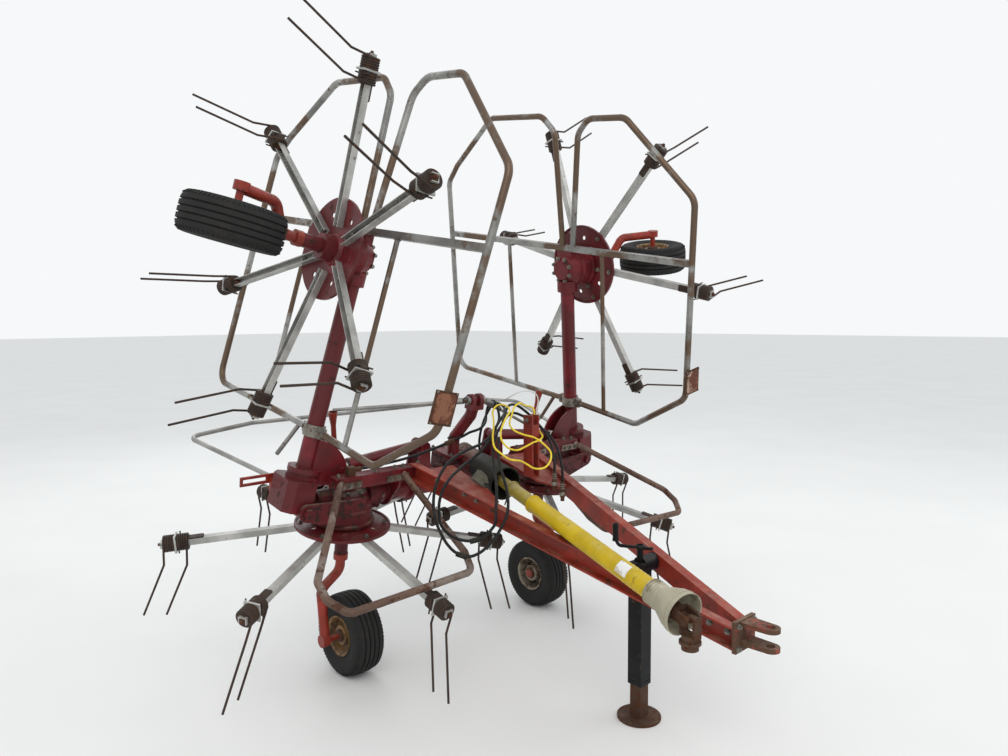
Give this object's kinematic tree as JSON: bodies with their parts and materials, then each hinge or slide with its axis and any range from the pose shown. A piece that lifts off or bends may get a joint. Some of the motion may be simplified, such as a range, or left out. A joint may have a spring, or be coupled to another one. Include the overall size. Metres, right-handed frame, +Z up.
{
  "type": "hay tedder",
  "caption": "Trailed rotary hay tedder with spring-tine rotors on caster wheels, its wings folded up over a channel drawbar with drive shaft and jack.",
  "frame": {"origin": "centre of the hitch pin hole, halfway between the hitch plates", "axes": "+X the machine's left, +Y to the rear, +Z up, with the machine parked on its jack"},
  "size_m": [2.9169, 2.6938, 2.8024],
  "materials": {
    "maroon_paint": "worn gloss",
    "orange_red_paint": "faded gloss",
    "zinc": "dull galvanised",
    "rusty_steel": "rusty",
    "spring_steel": "dark brown",
    "black_paint": "matt",
    "bright_steel": "bright",
    "tyre_rubber": "dull",
    "rim_paint": "faded gold",
    "guard_yellow": "satin",
    "guard_grey": "dull",
    "guard_black": "dull",
    "hose_rubber": "dull",
    "rope_yellow": "fibrous",
    "rope_white": "fibrous"
  },
  "bodies": {
    "frame": {"drawbar_rails": "orange_red_paint", "hitch_clevis": "orange_red_paint", "jack_tube": "black_paint", "front_beam": "maroon_paint", "beam_plates": "maroon_paint", "cross_tube": "maroon_paint", "inner_gearboxes": "maroon_paint", "centre_gearbox": "maroon_paint", "shaft_bell": "guard_black", "gooseneck": "maroon_paint", "guard_posts": "orange_red_paint", "tie_rods": "zinc", "front_guards": "zinc", "rear_guard": "zinc", "hose_outer": "hose_rubber", "hose_side": "hose_rubber", "hose_inner": "hose_rubber", "rope_yellow": "rope_yellow", "rope_white": "rope_white", "couplers": "rusty_steel"},
    "rotor_inner_right": {"disc_inner_right": "maroon_paint", "arms_inner_right": "zinc", "tines_inner_right": "spring_steel"},
    "leg_inner_right": {"leg_inner_right": "orange_red_paint"},
    "wheel_inner_right": {"rim_inner_right": "rim_paint", "tyre_inner_right": "tyre_rubber"},
    "rotor_inner_left": {"disc_inner_left": "maroon_paint", "arms_inner_left": "zinc", "tines_inner_left": "spring_steel"},
    "leg_inner_left": {"leg_inner_left": "orange_red_paint"},
    "wheel_inner_left": {"rim_inner_left": "rim_paint", "tyre_inner_left": "tyre_rubber"},
    "rotor_outer_right": {"disc_outer_right": "maroon_paint", "arms_outer_right": "zinc", "tines_outer_right": "spring_steel"},
    "leg_outer_right": {"leg_outer_right": "orange_red_paint"},
    "wheel_outer_right": {"rim_outer_right": "rim_paint", "tyre_outer_right": "tyre_rubber"},
    "rotor_outer_left": {"disc_outer_left": "maroon_paint", "arms_outer_left": "zinc", "tines_outer_left": "spring_steel"},
    "leg_outer_left": {"leg_outer_left": "orange_red_paint"},
    "wheel_outer_left": {"rim_outer_left": "rim_paint", "tyre_outer_left": "tyre_rubber"},
    "wing_right": {"wing_arm_right": "maroon_paint", "wing_guards_right": "zinc", "wing_marker_right": "rusty_steel"},
    "cylinder_barrel_right": {"cylinder_barrel_right": "maroon_paint"},
    "cylinder_rod_right": {"cylinder_rod_right": "bright_steel"},
    "wing_left": {"wing_arm_left": "maroon_paint", "wing_guards_left": "zinc", "wing_marker_left": "rusty_steel"},
    "cylinder_barrel_left": {"cylinder_barrel_left": "maroon_paint"},
    "cylinder_rod_left": {"cylinder_rod_left": "bright_steel"},
    "jack_leg": {"jack_leg": "rusty_steel"},
    "shaft_rear": {"shaft_tube_rear": "guard_yellow"},
    "shaft_front": {"shaft_tube_front": "guard_yellow", "shaft_cone": "guard_grey"},
    "shaft_fork": {"shaft_fork": "rusty_steel"},
    "shaft_yoke": {"shaft_yoke": "rusty_steel"}
  },
  "joints": [
    {"name": "wing_fold_right", "type": "hinge", "parent": "frame", "child": "wing_right", "pos_m": [-0.883, 1.72558, 0.31732], "axis": [0, -0.9866, -0.1633], "range_deg": [0, 103.7]},
    {"name": "cylinder_swing_right", "type": "hinge", "parent": "frame", "child": "cylinder_barrel_right", "pos_m": [-0.235, 1.69455, 0.50477], "axis": [0, -0.9866, -0.1633], "range_deg": [-5.39, 0.2]},
    {"name": "cylinder_stroke_right", "type": "slide", "parent": "cylinder_barrel_right", "child": "cylinder_rod_right", "axis": [-0.994, 0.0179, -0.1083], "range_m": [-0.002, 0.3587]},
    {"name": "wing_fold_left", "type": "hinge", "parent": "frame", "child": "wing_left", "pos_m": [0.883, 1.72558, 0.31732], "axis": [0, 0.9866, 0.1633], "range_deg": [0, 103.7]},
    {"name": "cylinder_swing_left", "type": "hinge", "parent": "frame", "child": "cylinder_barrel_left", "pos_m": [0.235, 1.69455, 0.50477], "axis": [0, 0.9866, 0.1633], "range_deg": [-5.39, 0.2]},
    {"name": "cylinder_stroke_left", "type": "slide", "parent": "cylinder_barrel_left", "child": "cylinder_rod_left", "axis": [0.994, 0.0179, -0.1083], "range_m": [-0.002, 0.3587]},
    {"name": "rotor_spin_inner_right", "type": "hinge", "parent": "frame", "child": "rotor_inner_right", "pos_m": [-0.64, 1.746, 0.194], "axis": [0, -0.1633, 0.9866], "continuous": true},
    {"name": "rotor_spin_outer_right", "type": "hinge", "parent": "wing_right", "child": "rotor_outer_right", "pos_m": [-0.77335, 1.54615, 1.40121], "axis": [0.9774, 0.0345, -0.2085], "continuous": true},
    {"name": "rotor_spin_inner_left", "type": "hinge", "parent": "frame", "child": "rotor_inner_left", "pos_m": [0.64, 1.746, 0.194], "axis": [0, -0.1633, 0.9866], "continuous": true},
    {"name": "rotor_spin_outer_left", "type": "hinge", "parent": "wing_left", "child": "rotor_outer_left", "pos_m": [0.77335, 1.54615, 1.40121], "axis": [-0.9774, 0.0345, -0.2085], "continuous": true},
    {"name": "leg_swivel_inner_right", "type": "hinge", "parent": "frame", "child": "leg_inner_right", "pos_m": [-0.64, 1.77866, -0.00331], "axis": [0, -0.1633, 0.9866], "range_deg": [-15, 15]},
    {"name": "wheel_spin_inner_right", "type": "hinge", "parent": "leg_inner_right", "child": "wheel_inner_right", "pos_m": [-0.614, 1.746, -0.332], "axis": [1, 0, 0], "continuous": true},
    {"name": "leg_swivel_outer_right", "type": "hinge", "parent": "wing_right", "child": "leg_outer_right", "pos_m": [-0.96884, 1.53924, 1.44291], "axis": [0.9774, 0.0345, -0.2085], "range_deg": [-15, 15]},
    {"name": "wheel_spin_outer_right", "type": "hinge", "parent": "leg_outer_right", "child": "wheel_outer_right", "pos_m": [-1.24605, 1.42528, 1.45783], "axis": [0.2113, -0.1596, 0.9643], "continuous": true},
    {"name": "leg_swivel_inner_left", "type": "hinge", "parent": "frame", "child": "leg_inner_left", "pos_m": [0.64, 1.77866, -0.00331], "axis": [0, -0.1633, 0.9866], "range_deg": [-15, 15]},
    {"name": "wheel_spin_inner_left", "type": "hinge", "parent": "leg_inner_left", "child": "wheel_inner_left", "pos_m": [0.614, 1.746, -0.332], "axis": [1, 0, 0], "continuous": true},
    {"name": "leg_swivel_outer_left", "type": "hinge", "parent": "wing_left", "child": "leg_outer_left", "pos_m": [0.96884, 1.53924, 1.44291], "axis": [-0.9774, 0.0345, -0.2085], "range_deg": [-15, 15]},
    {"name": "wheel_spin_outer_left", "type": "hinge", "parent": "leg_outer_left", "child": "wheel_outer_left", "pos_m": [1.24605, 1.42528, 1.45783], "axis": [-0.2113, -0.1596, 0.9643], "continuous": true},
    {"name": "jack_raise", "type": "slide", "parent": "frame", "child": "jack_leg", "axis": [0, 0, 1], "range_m": [0, 0.13]},
    {"name": "shaft_lift", "type": "hinge", "parent": "frame", "child": "shaft_rear", "pos_m": [-0.05937, 1.32783, 0.3684], "axis": [-0.9794, 0.2018, 0], "range_deg": [0, 10]},
    {"name": "shaft_slip", "type": "slide", "parent": "shaft_rear", "child": "shaft_front", "axis": [-0.1979, -0.9606, -0.1953], "range_m": [-0.15, 0.15]},
    {"name": "shaft_turn", "type": "hinge", "parent": "shaft_front", "child": "shaft_fork", "pos_m": [-0.308, 0.121, 0.123], "axis": [-0.1979, -0.9606, -0.1953], "continuous": true},
    {"name": "yoke_swing", "type": "hinge", "parent": "shaft_fork", "child": "shaft_yoke", "pos_m": [-0.308, 0.121, 0.123], "axis": [-0.9794, 0.2018, 0], "range_deg": [-2, 75]}
  ],
  "couplings": [
    {"joint": "cylinder_swing_right", "follows": "wing_fold_right", "ratio": -0.05},
    {"joint": "cylinder_stroke_right", "follows": "wing_fold_right", "m_per_rad": 0.196},
    {"joint": "cylinder_swing_left", "follows": "wing_fold_left", "ratio": -0.05},
    {"joint": "cylinder_stroke_left", "follows": "wing_fold_left", "m_per_rad": 0.196},
    {"joint": "rotor_spin_inner_left", "follows": "rotor_spin_inner_right", "ratio": -1},
    {"joint": "rotor_spin_outer_right", "follows": "rotor_spin_inner_right", "ratio": -1},
    {"joint": "rotor_spin_outer_left", "follows": "rotor_spin_inner_right", "ratio": 1}
  ]
}
